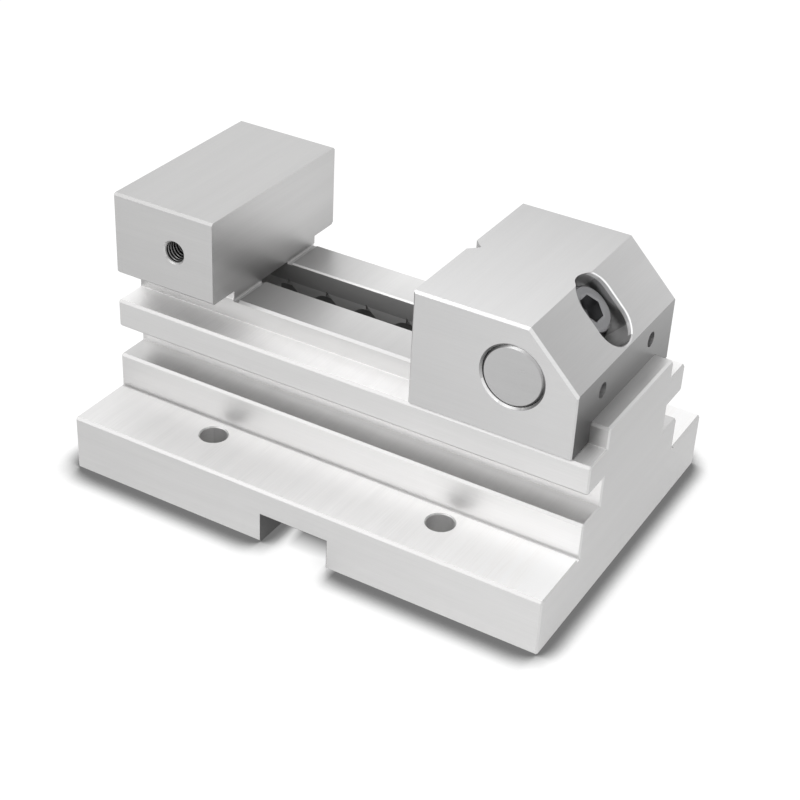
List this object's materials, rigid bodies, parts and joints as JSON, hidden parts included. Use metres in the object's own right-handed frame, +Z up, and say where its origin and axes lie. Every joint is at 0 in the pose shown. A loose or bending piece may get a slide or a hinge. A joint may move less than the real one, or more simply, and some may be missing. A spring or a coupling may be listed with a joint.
{
  "type": "edm electrode vise",
  "caption": "Precision vise with a flanged, stepped base, a fixed jaw and a sliding jaw that an inclined clamp screw pulls down and forward from a notch under the bed.",
  "frame": {"origin": "middle of the underside of the base", "axes": "+X along the vise from the fixed jaw to the movable jaw, +Z up, +Y to the rear, so the front side is at -Y"},
  "size_m": [0.17, 0.119, 0.091],
  "materials": {
    "body_steel": "ground stainless steel, hardened",
    "jaw_steel": "ground stainless steel, hardened",
    "pin_steel": "turned and ground stainless steel",
    "screw_steel": "stainless steel fastener",
    "spring_steel": "drawn spring steel"
  },
  "bodies": {
    "base": {"vise_body": "body_steel"},
    "jaw": {"movable_jaw": "jaw_steel", "pin_lock_screw_front": "screw_steel", "pin_lock_screw_rear": "screw_steel"},
    "trunnion": {"trunnion_pin": "pin_steel", "thrust_washer": "screw_steel", "release_spring": "spring_steel"},
    "screw": {"clamp_screw": "screw_steel", "retaining_ring": "spring_steel"},
    "nut": {"nut_bar": "pin_steel"}
  },
  "joints": [
    {"name": "jaw_slide", "type": "slide", "parent": "base", "child": "jaw", "axis": [1, 0, 0], "range_m": [-0.071, 0.006]},
    {"name": "trunnion_swivel", "type": "hinge", "parent": "jaw", "child": "trunnion", "pos_m": [0.0577, 0, 0.0735], "axis": [0, 1, 0], "range_deg": [-7, 10]},
    {"name": "clamp_screw_turn", "type": "hinge", "parent": "trunnion", "child": "screw", "pos_m": [0.0577, 0, 0.0735], "axis": [-0.6561, 0, -0.7547], "range_deg": [0, 2160]},
    {"name": "nut_travel", "type": "slide", "parent": "trunnion", "child": "nut", "axis": [0.6561, 0, 0.7547], "range_m": [0, 0.009], "deforming": ["release_spring"]}
  ],
  "couplings": [
    {"joint": "clamp_screw_turn", "follows": "nut_travel", "rad_per_m": 4188.8}
  ]
}
